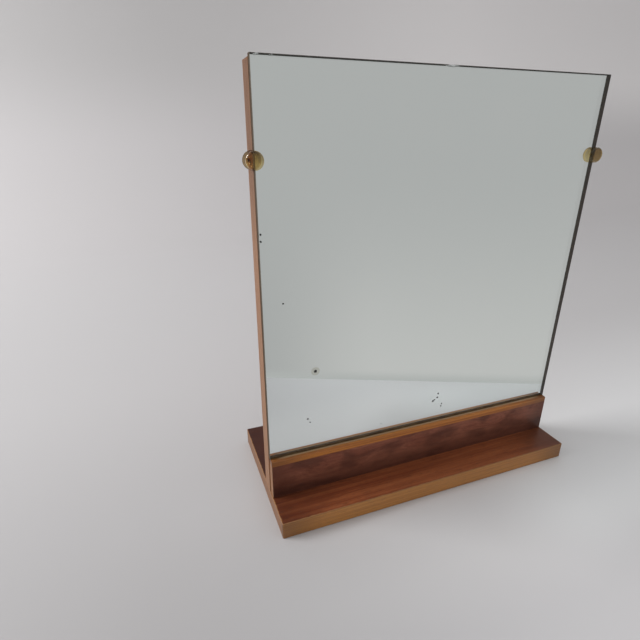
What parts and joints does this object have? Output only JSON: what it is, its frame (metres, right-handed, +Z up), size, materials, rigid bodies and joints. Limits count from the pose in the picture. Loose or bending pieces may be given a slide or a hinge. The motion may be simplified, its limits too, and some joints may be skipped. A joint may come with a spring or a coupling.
{
  "type": "tabletop vanity mirror",
  "caption": "Tabletop vanity mirror: a frameless glass pane on a wooden rail, held by side buttons against an upright veneered panel on a shallow base with a front tray.",
  "frame": {"origin": "on the surface it stands on, under the middle of the base board", "axes": "+X along the width, -Y the way the glass faces, +Z up"},
  "size_m": [0.375, 0.167, 0.428],
  "materials": {
    "mahogany_veneer": "satin lacquered reddish veneer",
    "honey_lipping": "satin lacquered solid wood",
    "chipboard": "raw pressed chips",
    "dowel_beech": "raw beech",
    "pane_glass": "polished float glass with ground edges",
    "silvering": "silver coat with a few age spots",
    "back_paint": "matt protective paint",
    "amber_plastic": "clear plastic, yellowed with age",
    "brass": "dull brass",
    "steel": "zinc-plated steel"
  },
  "bodies": {
    "stand": {"base_core": "chipboard", "base_top_veneer": "mahogany_veneer", "base_bottom_veneer": "mahogany_veneer", "base_front_lipping": "honey_lipping", "base_rear_lipping": "honey_lipping", "base_left_lipping": "honey_lipping", "base_right_lipping": "honey_lipping", "panel_core": "chipboard", "panel_front_veneer": "mahogany_veneer", "panel_back_veneer": "mahogany_veneer", "panel_left_lipping": "honey_lipping", "panel_right_lipping": "honey_lipping", "panel_top_lipping": "honey_lipping", "rail_core": "chipboard", "rail_front_veneer": "mahogany_veneer", "rail_left_lipping": "honey_lipping", "rail_right_lipping": "honey_lipping", "rail_cap": "honey_lipping", "right_clip": "amber_plastic", "left_clip": "amber_plastic", "right_clip_screw": "brass", "left_clip_screw": "brass", "panel_screws": "steel", "panel_dowels": "dowel_beech", "rail_dowels": "dowel_beech"},
    "mirror_pane": {"mirror_glass": "pane_glass", "mirror_silvering": "silvering", "mirror_back_paint": "back_paint"}
  },
  "joints": [
    {"name": "pane_lift", "type": "slide", "parent": "stand", "child": "mirror_pane", "axis": [0, 0, 1], "range_m": [0, 0.297]}
  ]
}
